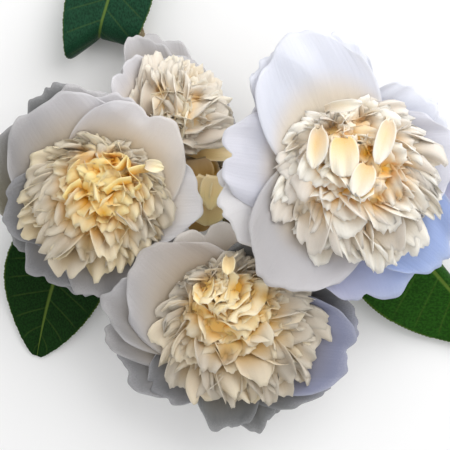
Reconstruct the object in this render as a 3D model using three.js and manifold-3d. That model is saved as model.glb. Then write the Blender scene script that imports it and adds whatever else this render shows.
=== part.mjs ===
// A cut camellia sprig, lying on its twig: four anemone-form blooms and three leaves.
// Millimetres, +Z up, floor at z = 0, the twig's cut end toward +Y.
import * as THREE from "three";
import { mergeVertices } from "three/addons/utils/BufferGeometryUtils.js";
import Module from "manifold-3d";

const wasm = await Module();
wasm.setup();

// Driving dimensions
const MIDDLE = [9.304, 34.314, 0.206]; // middle of the sprig's outline on the floor, moved to the origin
const GAP = 0.35; // clear space between touching pieces
const PETAL_THICK = 0.9;
const PETALOID_THICK = 1.1;
const LEAF_THICK = 1.1;
const STALK_RADIUS = [1.3, 1.0]; // of a leaf, at the twig and at the blade
const MERGE = 0.1; // corners nearer than this become one

// Each guard petal: bearing of its tip, length, width and layer in the bloom, then its own rise and
// bend per mm where it has them. A bloom leans `lean` degrees toward the bearing `toward`.
const BLOOMS = {
  right: {
    at: [39, 20.7, 33],
    lean: 14,
    toward: -38,
    centre: { seed: 15, reach: 31, droop: 8, droopToward: -34, dome: 1.0 },
    guards: [
      [119, 51, 42, 1], [101, 47, 38, 3], [80, 37, 30, 0], [49, 37, 30, 2], [30, 40, 24, 1],
      [10, 40, 36, 3], [339, 46, 34, 0], [320, 49, 34, 2], [290, 48, 48, 1], [236, 46, 42, 3],
      [203, 48, 34, 0], [185, 45, 30, 2], [170, 46, 28, 1], [156, 41, 28, 3],
    ],
  },
  low: {
    at: [1.5, -36.2, 17],
    lean: 14,
    toward: -80,
    centre: { seed: 11, reach: 28, droop: 5, droopToward: -40, dome: 1.0 },
    guards: [
      [105, 41, 40, 1], [135, 39, 44, 3], [158, 46, 34, 0], [171, 46, 28, 2], [192, 42, 30, 1],
      [218, 35, 30, 0], [268, 38, 28, 3], [285, 40, 24, 1], [305, 37, 34, 0], [332, 42, 40, 2],
      [353, 44, 38, 3], [8, 48, 38, 1], [35, 45, 34, 0], [64, 39, 36, 2],
    ],
  },
  left: {
    at: [-43.9, 13, 22],
    lean: 12,
    toward: -110,
    centre: { seed: 11, reach: 26, droop: 6, droopToward: 235, dome: 0.95 },
    guards: [
      [116, 42, 26, 0], [102, 39, 30, 1], [165, 38, 44, 1], [117, 38, 50, 3], [79, 36, 44, 2],
      [50, 37, 44, 3], [21, 43, 28, 0], [0, 36, 38, 2], [329, 30, 26, 1], [194, 34, 28, 3],
      [213, 36, 22, 0], [234, 37, 28, 2], [253, 37, 28, 1], [269, 36, 26, 3], [291, 35, 28, 0],
    ],
  },
  top: {
    at: [-23.9, 30.8, 13],
    lean: 27,
    toward: 45,
    centre: { seed: 17, reach: 22, droop: 4, droopToward: 30, dome: 0.8 },
    guards: [
      [141, 34, 28, 3, 50, 0.6], [117, 38, 26, 1, 45, 0.5], [95, 38, 26, 0], [74, 34, 26, 2],
      [54, 31, 26, 3], [27, 31, 28, 1], [354, 23, 28, 0], [302, 26, 26, 2, 30, 1.9],
      [277, 27, 24, 1, 30, 1.8],
    ],
  },
};

const GUARD = {
  foot: 3, rise: 34, bend: 0.85, cup: 0.5, ripple: 0.3, waves: 1.5, twist: 0, wrap: true,
  claw: 0.2, round: 0.16, tip: 0.84, broad: 0.72, grid: [4, 3],
};
const LAYER = 1.8; // rise from one layer of guard petals to the next

// Rings of petaloids in a bloom's centre: share of its reach, height of the tips, count, width and bend.
const RINGS = [
  { share: 0.15, height: 29, count: 3, width: 13, bend: 6 },
  { share: 0.42, height: 29, count: 5, width: 16, bend: 12 },
  { share: 0.68, height: 26, count: 7, width: 16, bend: 24 },
  { share: 0.87, height: 22, count: 8, width: 16, bend: 30 },
  { share: 1.0, height: 18.5, count: 10, width: 14, bend: 30 },
];
const PETALOID = {
  claw: 0.5, round: 0.1, tip: 0.9, broad: 0.8, waves: 1.5, wrap: false, grid: [2, 2],
};
const FOOT = { out: [2, 8], up: [5, 1.5] }; // of a petaloid in the middle and in the outer ring
const CURL = { cup: [2, 5], ripple: 1.2, twist: [20, 80] }; // at most, in the outer ring and the middle
const SPREAD = { bearing: 0.55, reach: 0.06, height: 0.08, bend: 0.3, width: 0.15 };

// Round pieces of a bloom, in its own frame, as radius and height.
const POST = [[0, -1.9], [4.4, -1.9], [8.8, 7.3], [0, 7.3]]; // what the petals grow from
const CORE = { share: 0.72, rise: 15, at: 8 }; // rounded heart under the petaloids
const BOWL = [[0, 7.8], [6, 8.4], [16, 14.2], [26, 17.0], [34, 17.8], [60, 17.8]]; // top of the guards
const BOWL_DEPTH = -5;
const CALYX = [[0, -9.2], [2.7, -9.2], [5.2, -7.2], [7.6, -3.6], [8.2, -1.2], [5, -2.25], [0, -2.25]];
const SIDES = { twig: 8, calyx: 12, core: 16 };

// Each leaf: where its blade starts, bearing of its midrib, length and width, and how the blade bends.
const LEAVES = {
  left: {
    base: [-52, 9.5, 6.4],
    bearing: -108.6,
    length: 63,
    width: 40,
    bow: -2.5,
    spine: { pitch: -1, arcs: [[63, -7]] },
    fold: 5,
    grid: [4, 8],
    stalk: [[-41.5, 13.6, 8.6], [-46, 11.8, 7.2], [-52.5, 9.3, 6.3]],
  },
  right: {
    base: [48, 13.2, 19.2],
    bearing: -46.9,
    length: 80,
    width: 54,
    bow: 1.5,
    spine: { pitch: -12, arcs: [[80, 2]] },
    fold: -10,
    roll: 4.5, // radius that its upper half rolls under to
    grid: [6, 9],
    stalk: [[37.6, 20.6, 20.5], [42, 17.2, 20], [48.4, 12.8, 19.1]],
  },
  top: {
    base: [-33.5, 119, 8.3],
    bearing: -106,
    length: 76,
    width: 30,
    bow: 0,
    spine: { pitch: 12, arcs: [[46, -8], [20, -180], [10, 0]] },
    fold: 4,
    late: [1.1, -0.2], // how much later each half curls under, per mm from the midrib
    grid: [4, 15],
    stalk: [[-38.8, 131, 5], [-36.2, 126, 6.8], [-33.6, 118.4, 8.4]],
  },
};
const BLADE = { start: 0.02, end: 0.985, skew: 0.85, full: 0.75, rollTurn: 3.3 };

// Limbs: a path and the radius at its two ends.
const TWIGS = {
  main_twig: {
    path: [
      [-45, 146, 3.6], [-41, 122, 3.3], [-37, 98, 3.2], [-34.3, 76, 3.2], [-24, 55, 3.2], [-10, 38, 3.2],
      [-0.5, 20, 3.2], [1.4, 0, 3.1], [1.2, -20, 3.2], [1.0, -30.5, 5.2], [1.1, -33.8, 7.3],
    ],
    radius: [3.2, 2.3],
  },
  right_twig: {
    path: [[0.3, 14, 3.4], [9, 14.5, 5.5], [21, 17.8, 10], [33, 21.4, 17], [37.2, 22.1, 23.3]],
    radius: [2.3, 2.2],
  },
  left_twig: {
    path: [
      [-5, 29, 3.4], [-14, 20, 3.6], [-25, 14.6, 4.4], [-35, 13, 7], [-41.5, 14.2, 9.5], [-43.2, 14.9, 12.2],
    ],
    radius: [2.2, 2.1],
  },
  top_twig: {
    path: [[-22.5, 53, 3.4], [-28, 42, 3.8], [-31.8, 31, 4], [-30, 26.2, 5.6], [-28.8, 25.5, 7]],
    radius: [2.0, 1.9],
  },
};
const TWIG_STEPS = { main_twig: 14, right_twig: 8, left_twig: 8, top_twig: 8 }; // stretches of each limb
const STALK_STEPS = 4;

const PETAL = new THREE.MeshStandardMaterial({ color: 0xf4f2ee, roughness: 0.6 });
const CREAM = new THREE.MeshStandardMaterial({ color: 0xf3e2b4, roughness: 0.6 });
const SEPAL = new THREE.MeshStandardMaterial({ color: 0x8a8a4a, roughness: 0.7 });
const GREEN = new THREE.MeshStandardMaterial({ color: 0x2f5a24, roughness: 0.4 });
const BARK = new THREE.MeshStandardMaterial({ color: 0x7a6247, roughness: 0.9 });

const radians = THREE.MathUtils.degToRad;
const lerp = THREE.MathUtils.lerp;

function seeded(seed) {
  let state = seed;
  return () => {
    state = (Math.imul(state, 1664525) + 1013904223) >>> 0;
    return state / 4294967296;
  };
}

// A closed solid from flat lists of corners and triangles, with its faces turned outward.
function solid(corners, triangles) {
  const vertProperties = new Float32Array(corners);
  const build = (triVerts) => new wasm.Manifold(new wasm.Mesh({ numProp: 3, vertProperties, triVerts }));
  const made = build(new Uint32Array(triangles));
  return made.volume() > 0 ? made : build(new Uint32Array(triangles).reverse());
}

function fromShape(geometry) {
  geometry.deleteAttribute("normal");
  geometry.deleteAttribute("uv");
  const merged = mergeVertices(geometry, 1e-4);
  return solid(merged.attributes.position.array, merged.index.array);
}

// Turns a profile of radius and height round the Z axis.
function turned(profile, sides) {
  const points = profile.map(([radius, height]) => new THREE.Vector2(radius, height));
  return fromShape(new THREE.LatheGeometry(points, sides).rotateX(Math.PI / 2));
}

// A profile moved outward by `spare`, each point square to the line between its neighbours.
function grown(profile, spare) {
  return profile.map(([radius, height], i) => {
    const [r0, h0] = profile[i - 1] ?? [-profile[i + 1][0], height];
    const [r1, h1] = profile[i + 1] ?? [-profile[i - 1][0], height];
    const length = Math.hypot(r1 - r0, h1 - h0);
    return [radius + spare * (h1 - h0) / length, height - spare * (r1 - r0) / length];
  });
}

// A point of a petal's middle surface in its bloom's frame: u -1 to 1 across, v 0 to 1 from foot to rim.
function petalPoint(petal, u, at) {
  const v = Math.max(at, 0);
  const opening = Math.sin(Math.PI / 2 * Math.min(v / petal.broad, 1)) ** 1.2;
  const past = Math.max(0, (v - petal.broad) / (1 - petal.broad));
  const share = v < petal.broad ? lerp(petal.claw, 1, opening) : 1 - (1 - petal.tip) * past ** 2;
  const along = v * (1 - petal.round * Math.abs(u) ** 2.4);
  const across = petal.width / 2 * u * share;
  const start = radians(petal.rise);
  const turn = radians(petal.end - petal.rise) || 0.001;
  const pitch = start + turn * along;
  const out = petal.foot + petal.length * (Math.sin(pitch) - Math.sin(start)) / turn;
  const up = petal.lift + petal.length * (Math.cos(start) - Math.cos(pitch)) / turn;
  const wave = Math.sin(Math.PI * petal.waves * u + petal.phase) * (0.4 + 0.6 * Math.abs(u));
  const off = petal.cup * u * u * Math.sin(Math.PI * v * 0.6) + petal.ripple * v ** 1.6 * wave;
  const twist = radians(petal.twist) * v;
  const side = across * Math.cos(twist) - off * Math.sin(twist);
  const face = across * Math.sin(twist) + off * Math.cos(twist);
  const reach = out - Math.sin(pitch) * face;
  const a = radians(petal.bearing);
  if (petal.wrap) {
    const around = a + side / out;
    return [reach * Math.cos(around), reach * Math.sin(around), up + Math.cos(pitch) * face];
  }
  return [
    reach * Math.cos(a) - side * Math.sin(a),
    reach * Math.sin(a) + side * Math.cos(a),
    up + Math.cos(pitch) * face,
  ];
}

// A closed sheet of even thickness round a middle surface given by point(u, v).
function sheet(point, [across, along], thick) {
  const corners = [];
  const triangles = [];
  const step = 0.02;
  const vector = (u, v) => new THREE.Vector3(...point(u, v));
  for (let i = 0; i <= across; i += 1) {
    for (let j = 0; j <= along; j += 1) {
      const u = -1 + 2 * i / across;
      const v = j / along;
      const acrossAt = vector(u + step, v).sub(vector(u - step, v));
      const alongAt = vector(u, v + step).sub(vector(u, v - step));
      const half = acrossAt.cross(alongAt).normalize().multiplyScalar(thick / 2);
      corners.push(...vector(u, v).add(half), ...vector(u, v).sub(half));
    }
  }
  const index = (i, j, back) => (i * (along + 1) + j) * 2 + back;
  const quad = (a, b, c, d) => triangles.push(a, b, c, a, c, d);
  for (let i = 0; i < across; i += 1) {
    for (let j = 0; j < along; j += 1) {
      quad(index(i, j, 0), index(i + 1, j, 0), index(i + 1, j + 1, 0), index(i, j + 1, 0));
      quad(index(i, j + 1, 1), index(i + 1, j + 1, 1), index(i + 1, j, 1), index(i, j, 1));
    }
  }
  for (let i = 0; i < across; i += 1) {
    quad(index(i, 0, 1), index(i + 1, 0, 1), index(i + 1, 0, 0), index(i, 0, 0));
    quad(index(i, along, 0), index(i + 1, along, 0), index(i + 1, along, 1), index(i, along, 1));
  }
  for (let j = 0; j < along; j += 1) {
    quad(index(0, j, 0), index(0, j + 1, 0), index(0, j + 1, 1), index(0, j, 1));
    quad(index(across, j, 1), index(across, j + 1, 1), index(across, j + 1, 0), index(across, j, 0));
  }
  return solid(corners, triangles);
}

// A petal as a solid; `spare` grows it on every side, for cutting its neighbours clear of it.
function petalSolid(petal, thick, spare = 0) {
  const larger = { ...petal, width: petal.width + 2 * spare, length: petal.length + spare };
  return sheet((u, v) => petalPoint(larger, u, v), petal.grid, thick + 2 * spare);
}

// A tapering limb of round section along a smooth path, with flat ends.
function limb(path, [thickEnd, thinEnd], steps, spare = 0) {
  const curve = new THREE.CatmullRomCurve3(path.map((p) => new THREE.Vector3(...p)));
  const sides = SIDES.twig;
  const corners = [];
  const triangles = [];
  for (let i = 0; i <= steps; i += 1) {
    const heading = curve.getTangentAt(i / steps);
    const side = new THREE.Vector3(0, 0, 1).cross(heading).normalize();
    const upward = heading.clone().cross(side);
    const radius = lerp(thickEnd, thinEnd, i / steps) + spare;
    for (let k = 0; k < sides; k += 1) {
      const turn = 2 * Math.PI * k / sides;
      const rim = curve.getPointAt(i / steps)
        .addScaledVector(side, radius * Math.cos(turn))
        .addScaledVector(upward, radius * Math.sin(turn));
      corners.push(...rim);
    }
  }
  for (let i = 0; i < steps; i += 1) {
    for (let k = 0; k < sides; k += 1) {
      const next = (k + 1) % sides;
      const a = i * sides;
      const b = a + sides;
      triangles.push(a + k, a + next, b + next, a + k, b + next, b + k);
    }
  }
  const last = steps * sides;
  for (let k = 1; k < sides - 1; k += 1) {
    triangles.push(0, k + 1, k, last, last + k, last + k + 1);
  }
  return solid(corners, triangles);
}

function union(pieces) {
  return pieces.reduce((whole, piece) => whole.add(piece));
}

function largest(piece) {
  return piece.decompose().reduce((best, part) => (part.volume() > best.volume() ? part : best));
}

// Cuts a piece clear of the spaces that its neighbours need, and drops what that cuts off.
function clearOf(piece, rooms) {
  const touching = rooms.filter((room) => piece.intersect(room).volume() > 0);
  return largest(touching.reduce((rest, room) => rest.subtract(room), piece));
}

// Moves a solid from a bloom's own frame to its place: leaned over, then carried to where it sits.
function placed(piece, bloom) {
  const a = radians(bloom.toward);
  const axis = new THREE.Vector3(-Math.sin(a), Math.cos(a), 0);
  const matrix = new THREE.Matrix4().makeRotationAxis(axis, radians(bloom.lean));
  return piece.transform(matrix.setPosition(...bloom.at).elements);
}

function guardPetals(bloom) {
  return bloom.guards.map(([bearing, length, width, layer, rise = GUARD.rise, bend = GUARD.bend]) => ({
    ...GUARD,
    bearing,
    length,
    width,
    rise,
    end: rise - bend * length,
    lift: layer * LAYER,
    phase: bearing / 20,
  }));
}

// Petaloids stand in rings. Each rises from its foot and bends so that its tip keeps to a dome.
function petaloids(centre) {
  const draw = seeded(centre.seed);
  const vary = (share) => 1 - share + 2 * share * draw();
  return RINGS.flatMap((ring, order) => Array.from({ length: ring.count }, (_, i) => {
    const pitch = 360 / ring.count; // between one petaloid of the ring and the next
    const bearing = pitch * (i + 0.5 * (order % 2) + SPREAD.bearing * (draw() - 0.5));
    const drooping = centre.droop * Math.cos(radians(bearing - centre.droopToward));
    const tipOut = (centre.reach + drooping) * ring.share * vary(SPREAD.reach);
    const tipUp = ring.height * centre.dome * vary(SPREAD.height);
    const foot = lerp(...FOOT.out, ring.share);
    const lift = lerp(...FOOT.up, ring.share);
    const slope = THREE.MathUtils.radToDeg(Math.atan2(tipUp - lift, tipOut - foot));
    const bend = ring.bend * vary(SPREAD.bend);
    const inner = 1 - ring.share;
    return {
      ...PETALOID,
      bearing,
      foot,
      lift,
      length: Math.hypot(tipUp - lift, tipOut - foot) * radians(bend) / Math.sin(radians(bend)),
      rise: slope + bend,
      end: slope - bend,
      width: ring.width * vary(SPREAD.width),
      cup: lerp(...CURL.cup, inner * draw()),
      ripple: CURL.ripple * inner,
      phase: 2 * Math.PI * draw(),
      twist: (draw() - 0.5) * lerp(...CURL.twist, inner),
    };
  }));
}

function makeBloom(bloom) {
  const { centre } = bloom;
  const petals = guardPetals(bloom);
  const post = turned(POST, SIDES.calyx);
  const petalRooms = petals.map((petal) => petalSolid(petal, PETAL_THICK, GAP));
  const half = centre.reach * CORE.share;
  const ball = new THREE.SphereGeometry(1, SIDES.core, SIDES.core / 2).rotateX(Math.PI / 2);
  const core = fromShape(ball.scale(half, half, CORE.rise * centre.dome).translate(0, 0, CORE.at));
  const frills = petaloids(centre).map((petaloid) => petalSolid(petaloid, PETALOID_THICK));
  const rim = BOWL.at(-1)[0];
  const bowl = turned([[0, BOWL_DEPTH], [rim, BOWL_DEPTH], ...BOWL.toReversed()], SIDES.core);
  const heart = union([core, ...frills]).subtract(bowl);
  return {
    petals: placed(largest(union([post, ...petals.map((petal) => petalSolid(petal, PETAL_THICK))])), bloom),
    centre: placed(clearOf(heart, petalRooms), bloom),
    calyx: placed(turned(CALYX, SIDES.calyx), bloom),
    petalRooms: petalRooms.map((room) => placed(room, bloom)),
    calyxRoom: placed(turned(grown(CALYX, GAP), SIDES.calyx), bloom),
  };
}

// Along, up and pitch at a distance down a chain of arcs, each given by its length and bend.
function spineAt(spine, distance) {
  let along = 0;
  let up = 0;
  let pitch = radians(spine.pitch);
  let left = distance;
  for (const [length, bend] of spine.arcs) {
    const run = Math.min(left, length);
    const turn = radians(bend) * run / length;
    const chord = run * (turn ? Math.sin(turn / 2) / (turn / 2) : 1);
    along += chord * Math.cos(pitch + turn / 2);
    up += chord * Math.sin(pitch + turn / 2);
    pitch += turn;
    left -= run;
    if (left <= 0) break;
  }
  const beyond = Math.max(left, 0);
  return { along: along + beyond * Math.cos(pitch), up: up + beyond * Math.sin(pitch), pitch };
}

// A point of a leaf's middle surface: u -1 to 1 across, v 0 to 1 from base to tip.
function leafPoint(leaf, u, v) {
  const run = Math.min(Math.max(v, 0), 1);
  const broad = Math.sin(Math.PI * lerp(BLADE.start, BLADE.end, run) ** BLADE.skew) ** BLADE.full;
  const half = leaf.width / 2 * broad;
  let across = half * u * Math.cos(radians(leaf.fold));
  let off = half * Math.abs(u) * Math.sin(radians(leaf.fold));
  if (leaf.roll && u > 0) {
    const turn = BLADE.rollTurn * u;
    across = leaf.roll * broad * Math.sin(turn);
    off = -leaf.roll * broad * (1 - Math.cos(turn));
  }
  const late = leaf.late ? Math.abs(across) * leaf.late[across > 0 ? 1 : 0] : 0;
  const { along, up, pitch } = spineAt(leaf.spine, leaf.length * v - late);
  const forward = along + late - off * Math.sin(pitch);
  const side = across + leaf.bow * Math.sin(Math.PI * run);
  const a = radians(leaf.bearing);
  return [
    leaf.base[0] + forward * Math.cos(a) - side * Math.sin(a),
    leaf.base[1] + forward * Math.sin(a) + side * Math.cos(a),
    leaf.base[2] + up + off * Math.cos(pitch),
  ];
}

function makeLeaf(leaf) {
  const blade = sheet((u, v) => leafPoint(leaf, u, v), leaf.grid, LEAF_THICK);
  return blade.add(limb(leaf.stalk, STALK_RADIUS, STALK_STEPS));
}

function mesh(piece, name, material) {
  const { vertProperties, triVerts, numProp } = largest(piece.simplify(MERGE)).getMesh();
  const geometry = new THREE.BufferGeometry();
  geometry.setAttribute("position", new THREE.BufferAttribute(vertProperties, numProp));
  geometry.setIndex(new THREE.BufferAttribute(triVerts, 1));
  const result = new THREE.Mesh(geometry, material);
  result.name = name;
  return result;
}

const root = new THREE.Group();
root.name = "camellia_sprig";
root.position.set(...MIDDLE).negate();
const add = (piece, name, material) => root.add(mesh(piece, name, material));

const blooms = Object.fromEntries(Object.entries(BLOOMS).map(([place, bloom]) => [place, makeBloom(bloom)]));
const calyxRooms = Object.values(blooms).map((bloom) => bloom.calyxRoom);
const inFront = []; // spaces of the petals in front, which those behind keep clear of
for (const [place, bloom] of Object.entries(blooms)) {
  add(clearOf(bloom.petals, inFront), `${place}_bloom_petals`, PETAL);
  add(clearOf(bloom.centre, inFront), `${place}_bloom_centre`, CREAM);
  add(bloom.calyx, `${place}_bloom_calyx`, SEPAL);
  inFront.push(...bloom.petalRooms);
}

const limbRooms = [];
for (const [name, { path, radius }] of Object.entries(TWIGS)) {
  add(clearOf(limb(path, radius, TWIG_STEPS[name]), [...limbRooms, ...calyxRooms]), name, BARK);
  limbRooms.push(limb(path, radius, TWIG_STEPS[name], GAP));
}
for (const [place, leaf] of Object.entries(LEAVES)) {
  add(clearOf(makeLeaf(leaf), [...limbRooms, ...calyxRooms]), `${place}_leaf`, GREEN);
}

export default root;
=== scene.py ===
import math
import bpy
import numpy as np
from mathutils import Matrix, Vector


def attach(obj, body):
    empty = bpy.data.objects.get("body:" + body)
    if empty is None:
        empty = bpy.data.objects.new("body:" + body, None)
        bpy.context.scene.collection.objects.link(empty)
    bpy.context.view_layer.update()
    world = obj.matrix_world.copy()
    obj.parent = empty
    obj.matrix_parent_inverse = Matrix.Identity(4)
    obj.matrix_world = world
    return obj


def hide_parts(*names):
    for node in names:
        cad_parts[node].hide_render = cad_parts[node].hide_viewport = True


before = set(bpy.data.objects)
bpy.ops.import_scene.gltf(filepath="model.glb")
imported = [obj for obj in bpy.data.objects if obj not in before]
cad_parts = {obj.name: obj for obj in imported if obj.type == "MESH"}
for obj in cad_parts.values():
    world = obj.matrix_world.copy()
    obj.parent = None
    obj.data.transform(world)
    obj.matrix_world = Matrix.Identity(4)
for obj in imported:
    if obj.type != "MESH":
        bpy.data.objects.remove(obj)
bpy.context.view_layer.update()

# Places are in millimetres, with zero under the middle of the photo. sprigMiddle takes them to the frame.
sprigMiddle = np.array([9.304, 34.314, 0.206])
millimetre = 0.001
photoView = {"height": 480, "lens": 100, "sensor": 36, "side": 450}


def seenAt(pixel, z):
    # the place at height z that the photo shows at this pixel
    scale = photoView["sensor"] / photoView["lens"] / photoView["side"] * (photoView["height"] - z)
    half = photoView["side"] / 2
    return np.array([(pixel[0] - half) * scale, (half - pixel[1]) * scale, z])


def seeded(seed):
    state = [seed]

    def draw(low=0.0, high=1.0):
        state[0] = (state[0] * 1664525 + 1013904223) % 4294967296
        return low + (high - low) * state[0] / 4294967296
    return draw


def mix(a, b, share):
    return a + (b - a) * share


def smooth(x, low, high):
    t = np.clip((x - low) / (high - low), 0, 1)
    return t * t * (3 - 2 * t)


def unit(vectors):
    return vectors / (np.linalg.norm(vectors, axis=-1, keepdims=True) + 1e-12)


def petalGrid(across, along):
    return np.meshgrid(np.linspace(-1, 1, across), np.linspace(0, 1, along), indexing="ij")


def polar(radius, angle, height):
    return np.stack(np.broadcast_arrays(radius * np.cos(angle), radius * np.sin(angle), height), -1)


# How fast a sheet grows to its full thickness, inward from its long sides and from its end.
rimFade = {"side": 5, "end": 7}


# Sheets of one kind, gathered into one mesh.
class SheetPile:
    def __init__(self):
        self.points, self.quads, self.maps, self.tints, self.sides = [], [], [], [], []
        self.count = 0

    def coloured(self, tint, shape):
        tint = np.asarray(tint, float)
        colours = np.ones((*shape, 4))
        colours[..., :tint.shape[-1]] = tint
        return colours

    def add(self, middle, thick, tint=(1, 1, 1), uv=None, rim=0.4, under=None):
        # a closed sheet of this thickness round a grid of middle points, thinner at its rim
        across, along = middle.shape[:2]
        u, v = petalGrid(across, along)
        normal = unit(np.cross(np.gradient(middle, axis=0), np.gradient(middle, axis=1)))
        body = np.minimum(1, rim + (1 - np.abs(u)) * rimFade["side"])
        body = body * np.minimum(1, rim + (1 - v) * rimFade["end"])
        off = normal * (thick / 2 * body)[..., None]
        self.points.append(np.concatenate([(middle + off).reshape(-1, 3), (middle - off).reshape(-1, 3)]))
        index = np.arange(across * along).reshape(across, along)
        a, b = index[:-1, :-1].ravel(), index[1:, :-1].ravel()
        c, d = index[1:, 1:].ravel(), index[:-1, 1:].ravel()
        half = across * along
        ring = np.concatenate([index[:, 0], index[-1, 1:], index[-2::-1, -1], index[0, -2:0:-1]])
        nextOne = np.roll(ring, -1)
        faces = [
            np.stack([a, b, c, d], 1),
            np.stack([d, c, b, a], 1) + half,
            np.stack([ring, ring + half, nextOne + half, nextOne], 1),
        ]
        self.quads.append(np.concatenate(faces) + self.count)
        self.sides.append(np.concatenate([np.full(len(f), side) for side, f in enumerate(faces)]))
        place = np.stack([(u + 1) / 2, v], -1).reshape(-1, 2) if uv is None else uv.reshape(-1, 2)
        self.maps.append(np.concatenate([place, place]))
        for side in (tint if under is None else under, tint):
            self.tints.append(self.coloured(side, (across, along)).reshape(-1, 4))
        self.count += 2 * half

    def addTube(self, rings, tint):
        # a closed skin over rings of points: around, then along
        around, along = rings.shape[:2]
        index = np.arange(around * along).reshape(around, along)
        a, b = index, np.roll(index, -1, 0)
        faces = np.stack([a[:, :-1], b[:, :-1], b[:, 1:], a[:, 1:]], -1).reshape(-1, 4)
        self.points.append(rings.reshape(-1, 3))
        self.quads.append(faces + self.count)
        self.sides.append(np.zeros(len(faces), int))
        place = np.stack(np.meshgrid(np.linspace(0, 1, around), np.linspace(0, 1, along), indexing="ij"), -1)
        self.maps.append(place.reshape(-1, 2))
        self.tints.append(self.coloured(tint, (around, along)).reshape(-1, 4))
        self.count += around * along

    def build(self, name, materials):
        points = (np.concatenate(self.points) - sprigMiddle) * millimetre
        quads = np.concatenate(self.quads)
        mesh = bpy.data.meshes.new(name)
        mesh.vertices.add(len(points))
        mesh.vertices.foreach_set("co", points.astype(np.float32).ravel())
        mesh.loops.add(quads.size)
        mesh.loops.foreach_set("vertex_index", quads.astype(np.int32).ravel())
        mesh.polygons.add(len(quads))
        mesh.polygons.foreach_set("loop_start", np.arange(0, quads.size, 4, dtype=np.int32))
        mesh.polygons.foreach_set("loop_total", np.full(len(quads), 4, np.int32))
        mesh.polygons.foreach_set("use_smooth", np.ones(len(quads), bool))
        if len(materials) > 1:
            mesh.polygons.foreach_set("material_index", (np.concatenate(self.sides) == 1).astype(np.int32))
        mesh.update(calc_edges=True)
        layer = mesh.uv_layers.new(name="petal")
        layer.data.foreach_set("uv", np.concatenate(self.maps)[quads.ravel()].astype(np.float32).ravel())
        tint = mesh.attributes.new("tint", "FLOAT_COLOR", "POINT")
        tint.data.foreach_set("color", np.concatenate(self.tints).astype(np.float32).ravel())
        piece = bpy.data.objects.new(name, mesh)
        bpy.context.scene.collection.objects.link(piece)
        for material in materials:
            mesh.materials.append(material)
        return piece


def settle(piece, node):
    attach(piece, "root")
    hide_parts(node)


# A grid seen from above: its cells, how far it reaches, and how a lift of part of a sheet is spread.
heightGrid = {"cell": 0.5, "reach": 150, "empty": -1000.0, "spread": 2, "soften": 3}


# How high the sprig reaches so far, so that each petal lies on those under it.
class HeightMap:
    def __init__(self):
        size = int(2 * heightGrid["reach"] / heightGrid["cell"])
        self.top = np.full((size, size), heightGrid["empty"])

    def indices(self, points):
        at = ((points[..., :2] + heightGrid["reach"]) / heightGrid["cell"]).astype(int)
        at = np.clip(at, 0, len(self.top) - 1)
        return at[..., 0], at[..., 1]

    def add(self, middle, thick):
        # the sheet's points, and those midway between them, twice over
        fine = middle
        for axis in (0, 1):
            for _ in range(2):
                between = (np.delete(fine, 0, axis) + np.delete(fine, -1, axis)) / 2
                both = np.concatenate([fine, fine], axis)
                both = both[:-1] if axis == 0 else both[:, :-1]
                if axis == 0:
                    both[0::2], both[1::2] = fine, between
                else:
                    both[:, 0::2], both[:, 1::2] = fine, between
                fine = both
        i, j = self.indices(fine)
        np.maximum.at(self.top, (i.ravel(), j.ravel()), fine[..., 2].ravel() + thick / 2)

    def shifted(self, lift):
        wide = np.pad(lift, 1, mode="edge")
        rows, columns = lift.shape
        return [wide[a:a + rows, b:b + columns] for a in range(3) for b in range(3)]

    def drape(self, middle, clear, share=1.0):
        # lifts a sheet over what is under it, and keeps it smooth
        i, j = self.indices(middle)
        lift = np.maximum(self.top[i, j] + clear - middle[..., 2], 0) * share
        for _ in range(heightGrid["spread"]):
            lift = np.max(self.shifted(lift), 0)
        for _ in range(heightGrid["soften"]):
            lift = np.mean(self.shifted(lift), 0)
        raised = middle.copy()
        raised[..., 2] += lift
        return raised, lift.max()


heights = HeightMap()


def newMaterial(name, **values):
    material = bpy.data.materials.new(name)
    material.use_nodes = True
    shader = material.node_tree.nodes["Principled BSDF"]
    for socket, value in values.items():
        shader.inputs[socket.replace("_", " ")].default_value = value
    return material, material.node_tree, shader


def newGroup(name, inputs, outputs):
    group = bpy.data.node_groups.new(name, "ShaderNodeTree")
    for socket, kind, value in inputs:
        made = group.interface.new_socket(socket, in_out="INPUT", socket_type=kind)
        made.default_value = value
    for socket, kind in outputs:
        group.interface.new_socket(socket, in_out="OUTPUT", socket_type=kind)
    return group, group.nodes.new("NodeGroupInput"), group.nodes.new("NodeGroupOutput")


def put(tree, group, **values):
    node = tree.nodes.new("ShaderNodeGroup")
    node.node_tree = group
    for socket, value in values.items():
        node.inputs[socket.replace("_", " ")].default_value = value
    return node


def feed(tree, socket, value):
    # a number or a colour is set on the socket, and an output is linked to it
    if isinstance(value, (int, float, tuple)):
        socket.default_value = value
    else:
        tree.links.new(value, socket)


def maths(tree, operation, *values):
    node = tree.nodes.new("ShaderNodeMath")
    node.operation = operation
    for socket, value in zip(node.inputs, values):
        feed(tree, socket, value)
    return node.outputs[0]


def mapRange(tree, value, low, high, toLow=0.0, toHigh=1.0, easing="SMOOTHSTEP"):
    node = tree.nodes.new("ShaderNodeMapRange")
    node.interpolation_type = easing
    for socket, given in zip(("Value", "From Min", "From Max", "To Min", "To Max"),
                             (value, low, high, toLow, toHigh)):
        feed(tree, node.inputs[socket], given)
    return node.outputs["Result"]


def mixColour(tree, factor, a, b):
    node = tree.nodes.new("ShaderNodeMix")
    node.data_type = "RGBA"
    for socket, value in ((node.inputs[0], factor), (node.inputs[6], a), (node.inputs[7], b)):
        feed(tree, socket, value)
    return node.outputs[2]


def sheetPlace(tree):
    # across a sheet from one side to the other, and along it from foot to tip, both from 0 to 1
    place = tree.nodes.new("ShaderNodeUVMap")
    place.uv_map = "petal"
    split = tree.nodes.new("ShaderNodeSeparateXYZ")
    tree.links.new(place.outputs[0], split.inputs[0])
    return split.outputs[0], split.outputs[1]


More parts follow.
